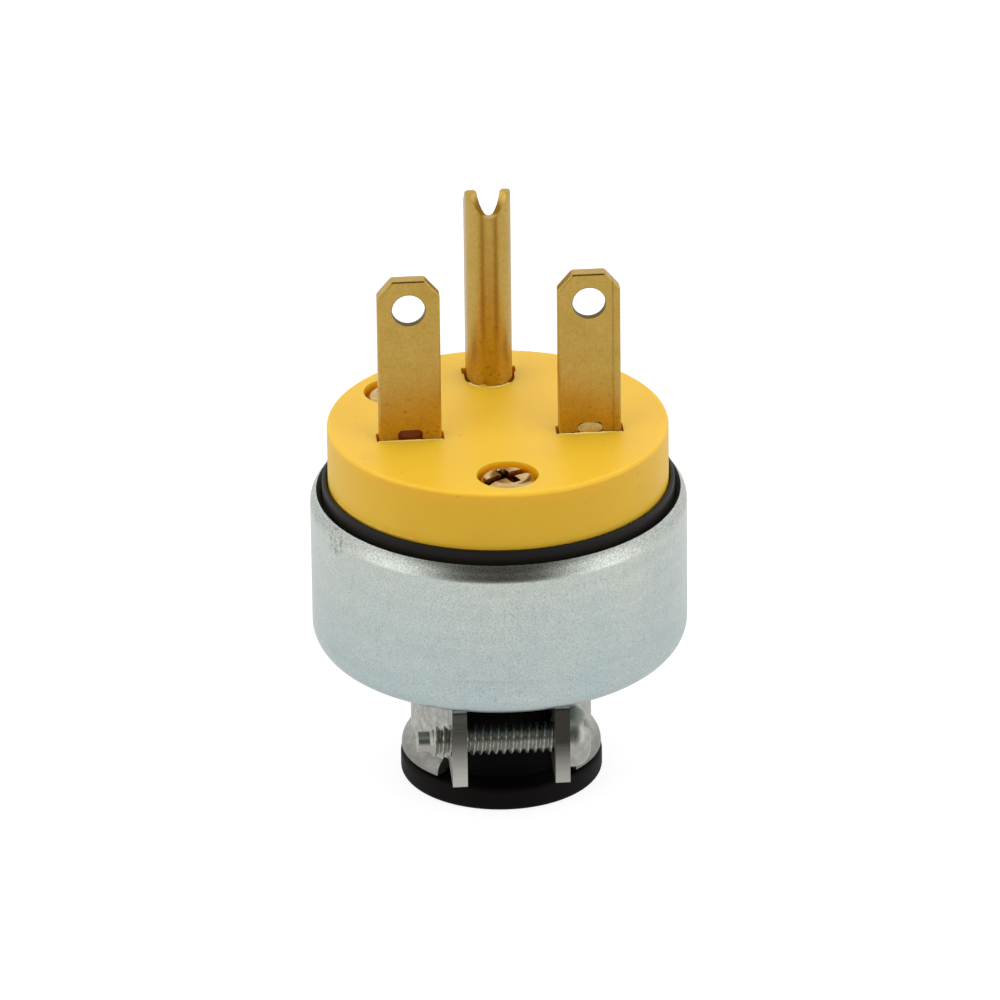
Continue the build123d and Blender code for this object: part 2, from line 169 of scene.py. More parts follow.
# A hair below the plug's foot, so that the two flat faces do not share one plane.
floor_z = -0.02 * MM
corner_signs = ((-1, -1), (1, -1), (1, 1), (-1, 1))
floor_corners = [(across * floor_half, along * floor_half, floor_z) for across, along in corner_signs]
floor_mesh = bpy.data.meshes.new("studio_floor")
floor_mesh.from_pydata(floor_corners, [], [(0, 1, 2, 3)])
floor = bpy.data.objects.new("studio_floor", floor_mesh)
bpy.context.scene.collection.objects.link(floor)

floor_lift = 0.58
camera_lift = 0.24
floor_material = bpy.data.materials.new("white_paper_sweep")
floor_material.use_nodes = True
tree = floor_material.node_tree
tree.nodes.clear()
ray = layer(tree, "ShaderNodeLightPath").outputs
seen = layer(tree, MATH, {"operation": "MAXIMUM"}, {0: ray["Is Camera Ray"], 1: ray["Is Glossy Ray"]})
seen = layer(tree, MATH, {"operation": "MAXIMUM"}, {0: seen, 1: ray["Is Transmission Ray"]})
paper = layer(tree, "ShaderNodeBsdfDiffuse", inputs={"Color": linear("#949494")})
lift = layer(tree, MATH, {"operation": "MULTIPLY"}, {0: seen, 1: floor_lift})
lift = layer(tree, MATH, {"operation": "MULTIPLY_ADD"}, {0: ray["Is Camera Ray"], 1: camera_lift, 2: lift})
glow = layer(tree, "ShaderNodeEmission", inputs={"Strength": lift})
both = layer(tree, "ShaderNodeAddShader", inputs={0: paper, 1: glow})
layer(tree, "ShaderNodeOutputMaterial", inputs={"Surface": both})
floor_mesh.materials.append(floor_material)
print("floor:", 2 * floor_half, "m wide")

# %% Room light
room_strength = 0.66
room = bpy.data.worlds.new("white_studio")
bpy.context.scene.world = room
room.use_nodes = True
tree = room.node_tree
tree.nodes.clear()
toward = layer(tree, "ShaderNodeTexCoord").outputs["Generated"]
facing = layer(tree, "ShaderNodeVectorMath", {"operation": "DOT_PRODUCT"}, {0: toward, 1: ahead})
aside = layer(tree, "ShaderNodeVectorMath", {"operation": "DOT_PRODUCT"}, {0: toward, 1: level_right})
off_axis = layer(tree, MATH, {"operation": "ABSOLUTE"}, {0: aside})
in_front = layer(tree, RANGE, SMOOTH, {"Value": facing, "From Min": -0.05, "From Max": 0.25})
near_axis = layer(
    tree, RANGE, SMOOTH,
    {"Value": off_axis, "From Min": 0.35, "From Max": 0.80, "To Min": 1.0, "To Max": 0.0},
)
shade = layer(tree, MATH, {"operation": "MULTIPLY"}, {0: in_front, 1: near_axis})
walls = layer(tree, MIX, COLOURS, {0: shade, MIX_A: linear("#FFFFFF"), MIX_B: linear("#4A4640")})
ray = layer(tree, "ShaderNodeLightPath").outputs
mirrored = layer(
    tree, MATH, {"operation": "MAXIMUM"}, {0: ray["Is Glossy Ray"], 1: ray["Is Transmission Ray"]},
)
flank = layer(
    tree, RANGE, SMOOTH,
    {"Value": off_axis, "From Min": 0.60, "From Max": 0.85, "To Min": 0.0, "To Max": 0.6},
)
bright = layer(tree, MATH, {"operation": "MULTIPLY_ADD"}, {0: in_front, 1: flank, 2: 1.0 - room_strength})
strength = layer(tree, MATH, {"operation": "MULTIPLY_ADD"}, {0: mirrored, 1: bright, 2: room_strength})
studio = layer(tree, "ShaderNodeBackground", inputs={"Color": walls, "Strength": strength})
white = layer(tree, "ShaderNodeBackground", inputs={"Color": linear("#FFFFFF"), "Strength": 1.0})
chosen = layer(tree, "ShaderNodeMixShader", inputs={0: ray["Is Camera Ray"], 1: studio, 2: white})
layer(tree, "ShaderNodeOutputWorld", inputs={"Surface": chosen})
print("room strength:", room_strength)

# %% Soft boxes
# Name, place in metres, side of the square box in metres, power in watts. The boxes are kept
# out of mirrors, where the white walls already stand for them.
soft_boxes = (
    ("soft_box_left", (-0.85, -0.50, 0.50), 1.2, 7.2),
    ("soft_box_right", (0.85, -0.50, 0.50), 1.2, 7.0),
    ("soft_box_above", (0.0, 0.0, 0.95), 1.2, 4.7),
)
for name, spot, side, watts in soft_boxes:
    lamp = bpy.data.lights.new(name, "AREA")
    lamp.shape = "SQUARE"
    lamp.size = side
    lamp.energy = watts
    holder = bpy.data.objects.new(name, lamp)
    holder.location = spot
    holder.rotation_euler = (Vector((0, 0, aim_height)) - Vector(spot)).to_track_quat("-Z", "Y").to_euler()
    holder.visible_glossy = False
    bpy.context.scene.collection.objects.link(holder)
    print(name, watts, "W")

# %% [markdown]
# ## The yellow face
# The face is an injection moulding in tough nylon, coloured all through. A mould polished only
# so far leaves a satin skin: soft broad highlights, a grain too fine to feel, and faint clouds
# of colour where the melt flowed together. Light goes a little way in and comes out warmer, and
# the orange glow of the walls of the sunk holes is painted into the colour as well.

# %% Yellow moulded nylon
yellow_nylon, tree, shader, here = start_material("yellow_moulded_nylon")
clouds = layer(tree, NOISE, inputs={"Vector": here, "Scale": per_metre(9), "Detail": 2.0})
melt = layer(tree, MIX, COLOURS, {0: clouds, MIX_A: linear("#E4B42A"), MIX_B: linear("#EEC136")})
# Specks of burnt pigment, about 0.3 mm across and far apart.
specks = layer(tree, NOISE, inputs={"Vector": here, "Scale": per_metre(0.9), "Detail": 1.0})
speck_mask = layer(tree, RANGE, inputs={"Value": specks, "From Min": 0.76, "From Max": 0.82, "To Max": 0.4})
pigment = layer(tree, MIX, COLOURS, {0: speck_mask, MIX_A: melt, MIX_B: linear("#A8741A")})
# Painted glow: the walls of the slots and screw holes, which lie below the face's top and
# inside its rim, are painted a brighter orange than the outside, for the light that soaks
# through them.
face_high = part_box("face_body")[1]
face_top = face_high.z
at = layer(tree, "ShaderNodeSeparateXYZ", inputs={0: here}).outputs
below = layer(
    tree, RANGE,
    inputs={
        "Value": at["Z"], "From Min": face_top - 0.30 * MM, "From Max": face_top - 0.10 * MM,
        "To Min": 1.0, "To Max": 0.0,
    },
)
spoke = layer(tree, "ShaderNodeCombineXYZ", inputs={0: at["X"], 1: at["Y"]})
off_centre = layer(tree, "ShaderNodeVectorMath", {"operation": "LENGTH"}, {0: spoke})
inside = layer(
    tree, RANGE,
    inputs={
        "Value": off_centre, "From Min": face_high.x - 1.2 * MM, "From Max": face_high.x - 0.8 * MM,
        "To Min": 1.0, "To Max": 0.0,
    },
)
painted_glow_mask = layer(tree, MATH, {"operation": "MULTIPLY"}, {0: below, 1: inside})
moulded = layer(tree, MIX, COLOURS, {0: painted_glow_mask, MIX_A: pigment, MIX_B: linear("#FFB70E")})
# The mould's grain is near 0.05 mm, drawn here at 0.35 mm so that it shows in the picture.
grain = layer(tree, NOISE, inputs={"Vector": here, "Scale": per_metre(0.35), "Detail": 3.0})
gloss = layer(tree, RANGE, inputs={"Value": grain, "To Min": 0.38, "To Max": 0.52})
skin = layer(tree, BUMP, inputs={"Height": grain, "Strength": 0.06, "Distance": 0.1 * MM})
# Slow sink marks, some 5 mm across, where thick walls behind the face cooled last.
sinks = layer(tree, NOISE, inputs={"Vector": here, "Scale": per_metre(5), "Detail": 1.0})
waves = layer(
    tree, BUMP,
    inputs={"Height": sinks, "Strength": 0.25, "Distance": 0.25 * MM, "Normal": skin},
)
connect(shader, {"Base Color": moulded, "Roughness": gloss, "Normal": waves, "IOR": 1.45})
connect(shader, {"Subsurface Weight": 0.45, "Subsurface Scale": 2.0 * MM})
connect(shader, {"Subsurface Radius": (1.0, 0.40, 0.08)})
print("made", yellow_nylon.name)

# %% [markdown]
# ## The brass
# Blades and pin are cut from rolled brass strip. Tumbling after the cut leaves it finely mottled
# and satin, with only a trace of the rolling lines, which here stand upright, and handling leaves
# a thin olive tarnish with a few dark pits. Metal has no colour of its own light: what it shows
# is the room, tinted, so the feet of the blades turn golden where they mirror the face, without
# any painted gradient.

# %% Rolled brass
rolled_brass, tree, shader, here = start_material("tumbled_brass_strip")
tarnish = layer(tree, NOISE, inputs={"Vector": here, "Scale": per_metre(3), "Detail": 6.0, "Roughness": 0.7})
alloy = layer(tree, MIX, COLOURS, {0: tarnish, MIX_A: linear("#B39240"), MIX_B: linear("#D2AF60")})
# Tumbling marks are near 0.05 mm, drawn at 0.3 mm so that they show.
mottle = layer(
    tree, NOISE, inputs={"Vector": here, "Scale": per_metre(0.3), "Detail": 5.0, "Roughness": 0.75},
)
mottle_mask = layer(tree, RANGE, inputs={"Value": mottle, "From Min": 0.45, "From Max": 0.75, "To Max": 0.42})
satin = layer(tree, MIX, COLOURS, {0: mottle_mask, MIX_A: alloy, MIX_B: linear("#957533")})
# Rolling lines are a few hundredths of a millimetre apart, drawn at 0.12 mm.
along = layer(tree, "ShaderNodeMapping", inputs={"Vector": here, "Scale": (1, 1, 0.06)})
lines = layer(tree, NOISE, inputs={"Vector": along, "Scale": per_metre(0.12), "Detail": 2.0})
line_mask = layer(tree, RANGE, inputs={"Value": lines, "From Min": 0.55, "From Max": 0.80, "To Max": 0.22})
rolled = layer(tree, MIX, COLOURS, {0: line_mask, MIX_A: satin, MIX_B: linear("#8E6F30")})
# Brown specks of corrosion, 0.3 mm across, gather in the last 8 mm above the face.
at = layer(tree, "ShaderNodeSeparateXYZ", inputs={0: here}).outputs
near_face = layer(
    tree, RANGE,
    inputs={
        "Value": at["Z"], "From Min": face_top, "From Max": face_top + 8 * MM,
        "To Min": 0.09, "To Max": 0.0,
    },
)
spots = layer(tree, NOISE, inputs={"Vector": here, "Scale": per_metre(0.45), "Detail": 3.0, "Roughness": 0.6})
more_spots = layer(tree, MATH, {"operation": "ADD"}, {0: spots, 1: near_face})
spot_mask = layer(
    tree, RANGE, inputs={"Value": more_spots, "From Min": 0.66, "From Max": 0.78, "To Max": 0.52},
)
spotted = layer(tree, MIX, COLOURS, {0: spot_mask, MIX_A: rolled, MIX_B: linear("#5E4018")})
# The right blade has a faint coined line along its outer edge.
blade_low, blade_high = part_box("line_blade_right")
blade_x = (blade_low.x + blade_high.x) / 2
off_line = layer(tree, MATH, {"operation": "SUBTRACT"}, {0: at["X"], 1: blade_x + 2.4 * MM})
from_line = layer(tree, MATH, {"operation": "ABSOLUTE"}, {0: off_line})
coin_mask = layer(
    tree, RANGE, SMOOTH,
    {"Value": from_line, "From Min": 0.0, "From Max": 0.18 * MM, "To Min": 0.35, "To Max": 0.0},
)
coined = layer(tree, MIX, COLOURS, {0: coin_mask, MIX_A: spotted, MIX_B: linear("#6E4E1C")})
# The walls of the punched holes are torn and dark: they are what lies within the holes' radius.
hole_r = 1.68 * MM
hole_z = blade_high.z - 3.2 * MM
side_x = layer(tree, MATH, {"operation": "ABSOLUTE"}, {0: at["X"]})
hole_across = layer(tree, MATH, {"operation": "SUBTRACT"}, {0: side_x, 1: blade_x})
hole_up = layer(tree, MATH, {"operation": "SUBTRACT"}, {0: at["Z"], 1: hole_z})
hole_way = layer(tree, "ShaderNodeCombineXYZ", inputs={0: hole_across, 1: hole_up})
hole_off = layer(tree, "ShaderNodeVectorMath", {"operation": "LENGTH"}, {0: hole_way})
torn = layer(
    tree, RANGE,
    inputs={
        "Value": hole_off, "From Min": hole_r + 0.02 * MM, "From Max": hole_r + 0.07 * MM,
        "To Min": 0.85, "To Max": 0.0,
    },
)
punched = layer(tree, MIX, COLOURS, {0: torn, MIX_A: coined, MIX_B: linear("#33240F")})
bare = layer(tree, RANGE, inputs={"Value": torn, "From Max": 0.85, "To Min": 1.0, "To Max": 0.2})
sheen = layer(tree, RANGE, inputs={"Value": mottle, "To Min": 0.26, "To Max": 0.40})
ridges = layer(tree, BUMP, inputs={"Height": mottle, "Strength": 0.06, "Distance": 0.04 * MM})
connect(shader, {"Base Color": punched, "Roughness": sheen, "Normal": ridges, "Metallic": bare})
connect(shader, {"Specular IOR Level": 0.1})
print("made", rolled_brass.name)

# %% [markdown]
# ## The zinc-plated shell
# The shell is drawn from sheet steel and barrel-plated with zinc. The plating is matt and
# grainy, with a fine grey speckle, and the clear passivation on top gives faint clouds of blue
# and straw. On top of these the wall is painted lighter and straw towards the top and darker and
# bluer low down, a painted reflection of the floor, which lies in shade near the foot. Barrels
# knock the parts together, so there are small dark scuffs, most of them at the upper left. The
# draw has left a faint crease round the wall, and the rim is coloured darker and browner, in a
# speckle.

# %% Zinc-plated steel
shell_low, shell_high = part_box("steel_shell")
crease_z = shell_low.z + 4.65 * MM
rim_start = shell_high.z - 1.85 * MM
rim_end = rim_start + 1.1 * MM
scuff_spot = Vector((-17.2, -8.6, 30.6)) * MM
zinc_plating, tree, shader, here = start_material("barrel_zinc_plated_steel")
clouds = layer(tree, NOISE, inputs={"Vector": here, "Scale": per_metre(6.0), "Detail": 3.0})
at = layer(tree, "ShaderNodeSeparateXYZ", inputs={0: here}).outputs
# Painted reflection: the wall turns lighter and straw towards the top and darker and bluer low down, for the
# floor it mirrors, which lies in shade near the foot.
painted_reflection_up_wall = layer(
    tree, RANGE,
    inputs={
        "Value": at["Z"], "From Min": shell_low.z + 4 * MM, "From Max": shell_high.z - 2 * MM,
        "To Min": -0.05, "To Max": 0.45,
    },
)
straw = layer(tree, MATH, {"operation": "MULTIPLY_ADD"}, {0: clouds, 1: 0.6, 2: painted_reflection_up_wall})
tint_and_painted_reflection = layer(tree, MIX, COLOURS, {0: straw, MIX_A: linear("#B8CACF"), MIX_B: linear("#DADDD1")})
# The plating's crystals are about 0.05 mm, drawn here at 0.14 mm, with blotches of 1.2 mm.
speckle = layer(
    tree, NOISE, inputs={"Vector": here, "Scale": per_metre(0.14), "Detail": 2.0, "Roughness": 0.6},
)
dull = layer(tree, RANGE, inputs={"Value": speckle, "From Min": 0.42, "From Max": 0.66, "To Max": 0.50})
grained = layer(tree, MIX, COLOURS, {0: dull, MIX_A: tint_and_painted_reflection, MIX_B: linear("#8B9491")})
blotches = layer(
    tree, NOISE, inputs={"Vector": here, "Scale": per_metre(1.2), "Detail": 5.0, "Roughness": 0.65},
)
blotch_mask = layer(
    tree, RANGE, inputs={"Value": blotches, "From Min": 0.46, "From Max": 0.74, "To Max": 0.16},
)
blotched = layer(tree, MIX, COLOURS, {0: blotch_mask, MIX_A: grained, MIX_B: linear("#9CA5A3")})
# Rings left by the draw, about 1 mm apart and very faint: a noise that only changes up the wall.
round_wall = layer(tree, "ShaderNodeMapping", inputs={"Vector": here, "Scale": (0.02, 0.02, 1)})
rings = layer(tree, NOISE, inputs={"Vector": round_wall, "Scale": per_metre(1.0), "Detail": 3.0})
ring_mask = layer(tree, RANGE, inputs={"Value": rings, "From Min": 0.40, "From Max": 0.70, "To Max": 0.12})
ringed = layer(tree, MIX, COLOURS, {0: ring_mask, MIX_A: blotched, MIX_B: linear("#98A3A3")})
# Scuffs from the plating barrel: short dark marks within 2.6 mm of one spot, and a few elsewhere.
marks = layer(tree, NOISE, inputs={"Vector": here, "Scale": per_metre(0.7), "Detail": 6.0, "Roughness": 0.75})
away = layer(tree, "ShaderNodeVectorMath", {"operation": "DISTANCE"}, {0: here, 1: scuff_spot})
at_spot = layer(
    tree, RANGE,
    inputs={"Value": away, "From Min": 0.8 * MM, "From Max": 2.6 * MM, "To Min": 0.16, "To Max": 0.0},
)
worn = layer(tree, MATH, {"operation": "ADD"}, {0: marks, 1: at_spot})
scuff = layer(tree, RANGE, inputs={"Value": worn, "From Min": 0.64, "From Max": 0.74, "To Max": 0.60})
scuffed = layer(tree, MIX, COLOURS, {0: scuff, MIX_A: ringed, MIX_B: linear("#55534D")})
# The crease is a shallow groove 0.7 mm wide, and the rim starts where the wall turns in.
off_crease = layer(tree, MATH, {"operation": "SUBTRACT"}, {0: at["Z"], 1: crease_z})
from_crease = layer(tree, MATH, {"operation": "ABSOLUTE"}, {0: off_crease})
crease = layer(
    tree, RANGE, SMOOTH,
    {"Value": from_crease, "From Min": 0.0, "From Max": 0.35 * MM, "To Min": 1.0, "To Max": 0.0},
)
# The rim is coloured darker and browner, in a speckle.
on_rim = layer(tree, RANGE, SMOOTH, {"Value": at["Z"], "From Min": rim_start, "From Max": rim_end})
rim_speckle = layer(
    tree, RANGE,
    inputs={"Value": speckle, "From Min": 0.42, "From Max": 0.60, "To Min": 0.05, "To Max": 0.40},
)
rim_mask = layer(tree, MATH, {"operation": "MULTIPLY"}, {0: on_rim, 1: rim_speckle})
plated = layer(tree, MIX, COLOURS, {0: rim_mask, MIX_A: scuffed, MIX_B: linear("#787168")})
dullness = layer(tree, RANGE, inputs={"Value": blotches, "To Min": 0.24, "To Max": 0.38})
tooth = layer(tree, BUMP, inputs={"Height": speckle, "Strength": 0.26, "Distance": 0.04 * MM})
groove = layer(
    tree, BUMP, {"invert": True},
    {"Height": crease, "Strength": 0.4, "Distance": 0.08 * MM, "Normal": tooth},
)
# The wall leans in softly, by some 20 degrees, before the rim's tight bend takes over.
lean = layer(
    tree, RANGE, SMOOTH,
    {"Value": at["Z"], "From Min": rim_start, "From Max": rim_end, "To Min": 1.0, "To Max": 0.0},
)
shoulder = layer(
    tree, BUMP,
    inputs={"Height": lean, "Strength": 1.0, "Distance": 0.27 * MM, "Normal": groove},
)
connect(shader, {"Base Color": plated, "Roughness": dullness, "Normal": shoulder, "Metallic": 1.0})
print("made", zinc_plating.name, "shell height in mm:", round((shell_high.z - shell_low.z) / MM, 2))

# %% [markdown]
# ## The clamp stampings
# The clamp is blanked from thicker sheet, bent and plated like the shell. Its flat sides are
# pale and mottled, with brown stains where water stood. The ends of its ears are sheared edges
# with fine lines across the sheet where the punch dragged; their colour runs from dark at the top
# to pale at the lower corner, and the right ear is a little darker, which is painted shadow from
# the shell above. The bend of the skirt is darkened with painted shade.

# %% Plated clamp stamping
clamp_low, clamp_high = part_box("clamp_half_right")
ear_end = clamp_high.y
ear_bottom = clamp_low.z + 1.8 * MM
clamp_zinc, tree, shader, here = start_material("zinc_plated_stamping")
clouds = layer(tree, NOISE, inputs={"Vector": here, "Scale": per_metre(1.0), "Detail": 7.0, "Roughness": 0.7})
cloud_mask = layer(tree, RANGE, inputs={"Value": clouds, "From Min": 0.30, "From Max": 0.70})
plated = layer(tree, MIX, COLOURS, {0: cloud_mask, MIX_A: linear("#8F9089"), MIX_B: linear("#D0D1CA")})
stains = layer(tree, NOISE, inputs={"Vector": here, "Scale": per_metre(2.6), "Detail": 4.0, "Roughness": 0.6})
stain_mask = layer(tree, RANGE, inputs={"Value": stains, "From Min": 0.56, "From Max": 0.72, "To Max": 0.55})
stained = layer(tree, MIX, COLOURS, {0: stain_mask, MIX_A: plated, MIX_B: linear("#8E8470")})
at = layer(tree, "ShaderNodeSeparateXYZ", inputs={0: here}).outputs
# Painted shade: the skirt is darkened below the ears, where it lies in shade over the black flange.
painted_shade_low = layer(
    tree, RANGE, SMOOTH,
    {
        "Value": at["Z"], "From Min": ear_bottom - 1.0 * MM, "From Max": ear_bottom + 0.8 * MM,
        "To Min": 0.60, "To Max": 0.0,
    },
)
stains_and_painted_shade = layer(tree, MIX, COLOURS, {0: painted_shade_low, MIX_A: stained, MIX_B: linear("#6B6862")})
reach = layer(tree, MATH, {"operation": "ABSOLUTE"}, {0: at["Y"]})
at_edge = layer(
    tree, RANGE, inputs={"Value": reach, "From Min": ear_end - 0.12 * MM, "From Max": ear_end - 0.04 * MM},
)
# Drag lines of the punch, drawn at 0.3 mm up the edge and long across the sheet.
across = layer(tree, "ShaderNodeMapping", inputs={"Vector": here, "Scale": (0.05, 1, 1)})
drag = layer(tree, NOISE, inputs={"Vector": across, "Scale": per_metre(0.3), "Detail": 2.0})
drag_share = layer(tree, RANGE, inputs={"Value": drag, "To Min": -0.02, "To Max": 0.12})
# Painted shadow: the ear ends are dark at the top, where the shell shades them, and pale at the lower corner,
# and the right ear is a little darker.
painted_shadow_up_edge = layer(
    tree, RANGE, SMOOTH,
    {
        "Value": at["Z"], "From Min": ear_bottom - 0.5 * MM, "From Max": ear_bottom + 6.5 * MM,
        "To Min": 0.95, "To Max": 0.0,
    },
)
painted_shade_right = layer(
    tree, RANGE,
    inputs={"Value": at["X"], "From Min": -1 * MM, "From Max": 1 * MM, "To Min": 0.0, "To Max": -0.2},
)
shadow_and_drag = layer(tree, MATH, {"operation": "ADD"}, {0: painted_shadow_up_edge, 1: drag_share})
shadow_and_drag_mask = layer(tree, MATH, {"operation": "ADD", "use_clamp": True}, {0: shadow_and_drag, 1: painted_shade_right})
edge_with_painted_shadow = layer(tree, MIX, COLOURS, {0: shadow_and_drag_mask, MIX_A: linear("#3E3B36"), MIX_B: linear("#C6C4BC")})
clamp_colour = layer(tree, MIX, COLOURS, {0: at_edge, MIX_A: stains_and_painted_shade, MIX_B: edge_with_painted_shadow})
grain = layer(tree, NOISE, inputs={"Vector": here, "Scale": per_metre(0.3), "Detail": 4.0})
gloss = layer(tree, RANGE, inputs={"Value": grain, "To Min": 0.26, "To Max": 0.46})
relief = layer(tree, BUMP, inputs={"Height": grain, "Strength": 0.30, "Distance": 0.06 * MM})
dents = layer(
    tree, BUMP,
    inputs={"Height": clouds, "Strength": 0.30, "Distance": 0.15 * MM, "Normal": relief},
)
connect(shader, {"Base Color": clamp_colour, "Roughness": gloss, "Normal": dents, "Metallic": 1.0})
print("made", clamp_zinc.name)

# %% [markdown]
# ## The plainer finishes
# The other finishes differ only in colour, gloss and grain, so one loop makes them: black
# moulded liner, black rubber, plated screws, dark brown nylon that is painted shade, pale nylon
# flash painted paler still for the light that comes through a thin fin, brass burr painted pale
# as a highlight, and the brass and green-dyed binding screws inside. Each still has its own
# grain size. The two blacks mirror less than clear plastic does, because their skin is full of
# soot, so their mirror level is set below the usual half.

# %% Plain finishes
# Name, two colours that cloud into each other, cloud size in mm, roughness from and to, metallic,
# mirror level, grain in mm, bump.
plain_finishes = (
    ("black_moulded_liner", "#100D0A", "#1A1611", 5.0, 0.42, 0.56, 0.0, 0.20, 0.4, 0.08),
    ("black_moulded_rubber", "#0B0908", "#13100F", 4.0, 0.50, 0.64, 0.0, 0.07, 0.5, 0.10),
    ("bright_zinc_screw", "#86877F", "#C6C7BF", 0.7, 0.28, 0.44, 1.0, 0.5, 0.3, 0.10),
    # Painted shade: a dark reddish-brown nylon for a place that shows only shade.
    ("painted_shade_nylon", "#6E2E0E", "#8A4116", 1.0, 0.40, 0.55, 0.0, 0.4, 0.4, 0.08),
    # Pale, and painted paler still for light through the thin fins.
    ("thin_nylon_flash_painted_pale", "#EBC24E", "#F6D988", 2.0, 0.30, 0.45, 0.0, 0.5, 0.4, 0.05),
    # Painted highlight: a pale brass that stands in for the bright oval of the bulge.
    ("brass_burr_painted_pale", "#98762A", "#E0C782", 0.5, 0.38, 0.55, 0.3, 0.5, 0.2, 0.25),
    ("turned_brass_screw", "#B99A55", "#C9AC68", 1.5, 0.22, 0.34, 1.0, 0.5, 0.3, 0.04),
    ("green_dyed_screw", "#2A6B39", "#357B45", 1.5, 0.28, 0.40, 0.6, 0.5, 0.3, 0.04),
)
finishes = {}
for name, dark, light, cloud_mm, smooth, rough, metallic, mirror, grain_mm, bump in plain_finishes:
    material, tree, shader, here = start_material(name)
    clouds = layer(tree, NOISE, inputs={"Vector": here, "Scale": per_metre(cloud_mm), "Detail": 4.0})
    grain = layer(tree, NOISE, inputs={"Vector": here, "Scale": per_metre(grain_mm), "Detail": 3.0})
    colour = layer(tree, MIX, COLOURS, {0: clouds, MIX_A: linear(dark), MIX_B: linear(light)})
    gloss = layer(tree, RANGE, inputs={"Value": grain, "To Min": smooth, "To Max": rough})
    relief = layer(tree, BUMP, inputs={"Height": grain, "Strength": bump, "Distance": 0.05 * MM})
    connect(shader, {"Base Color": colour, "Roughness": gloss, "Normal": relief})
    connect(shader, {"Metallic": metallic, "Specular IOR Level": mirror})
    finishes[name] = material
print("made", ", ".join(finishes))

# %% [markdown]
# ## The face screws' plating
# The screws in the face are plated and then passivated to a straw gold. The driver recess is
# coloured brown, darker towards its bottom, while the top of the head stays bright and mirrors
# the room.

# %% Straw-passivated screw
face_head_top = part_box("face_screws")[1].z
head_rise = 0.85 * MM
recess_deep = 0.9 * MM
straw_screw, tree, shader, here = start_material("straw_passivated_screw")
clouds = layer(tree, NOISE, inputs={"Vector": here, "Scale": per_metre(0.8), "Detail": 4.0})
straw = layer(tree, MIX, COLOURS, {0: clouds, MIX_A: linear("#B0843A"), MIX_B: linear("#E8CE98")})
at = layer(tree, "ShaderNodeSeparateXYZ", inputs={0: here}).outputs
# The colour turns brown and darker towards the bottom of the recess.
deep = layer(
    tree, RANGE, SMOOTH,
    {
        "Value": at["Z"], "From Min": face_head_top + head_rise - recess_deep,
        "From Max": face_head_top + head_rise - 0.15 * MM, "To Min": 0.7, "To Max": 0.0,
    },
)
darker_in_recess = layer(tree, MIX, COLOURS, {0: deep, MIX_A: straw, MIX_B: linear("#8C4A12")})
grain = layer(tree, NOISE, inputs={"Vector": here, "Scale": per_metre(0.3), "Detail": 3.0})
gloss = layer(tree, RANGE, inputs={"Value": grain, "To Min": 0.12, "To Max": 0.30})
relief = layer(tree, BUMP, inputs={"Height": clouds, "Strength": 0.25, "Distance": 0.10 * MM})
connect(shader, {"Base Color": darker_in_recess, "Roughness": gloss, "Normal": relief, "Metallic": 1.0})
print("made", straw_screw.name)

# %% Dress the solids
wears = {
    "face_body": yellow_nylon,
    "line_blade_left": rolled_brass,
    "line_blade_right": rolled_brass,
    "ground_pin": rolled_brass,
    "steel_shell": zinc_plating,
    "insulating_liner": finishes["black_moulded_liner"],
    "cord_grommet": finishes["black_moulded_rubber"],
    "clamp_half_left": clamp_zinc,
    "clamp_half_right": clamp_zinc,
    "clamp_screws": finishes["bright_zinc_screw"],
    "face_screws": straw_screw,
    "line_terminal_screws": finishes["turned_brass_screw"],
    "ground_terminal_screw": finishes["green_dyed_screw"],
}
for name, material in wears.items():
    nodes[name].data.materials.clear()
    nodes[name].data.materials.append(material)
print("dressed", len(wears), "nodes")

# %% [markdown]
# ## Machine screws with real threads
# The solids show the screws as plain rods. A thread is a helix: go once round and the profile
# has moved along by one pitch. So the whole screw can be one surface over two parameters, the
# turn about its axis and the way along its outline, with the radius dipping wherever the helix
# says so. A heightfield over the head cuts the driver recess, a slot crossed by a shorter arm.

# %% A screw as one surface
def ease(low, high, x):
    """Smooth step: 0 below low, 1 above high, and 3t^2 - 2t^3 between them."""
    t = np.clip((x - low) / (high - low), 0, 1)
    return t * t * (3 - 2 * t)


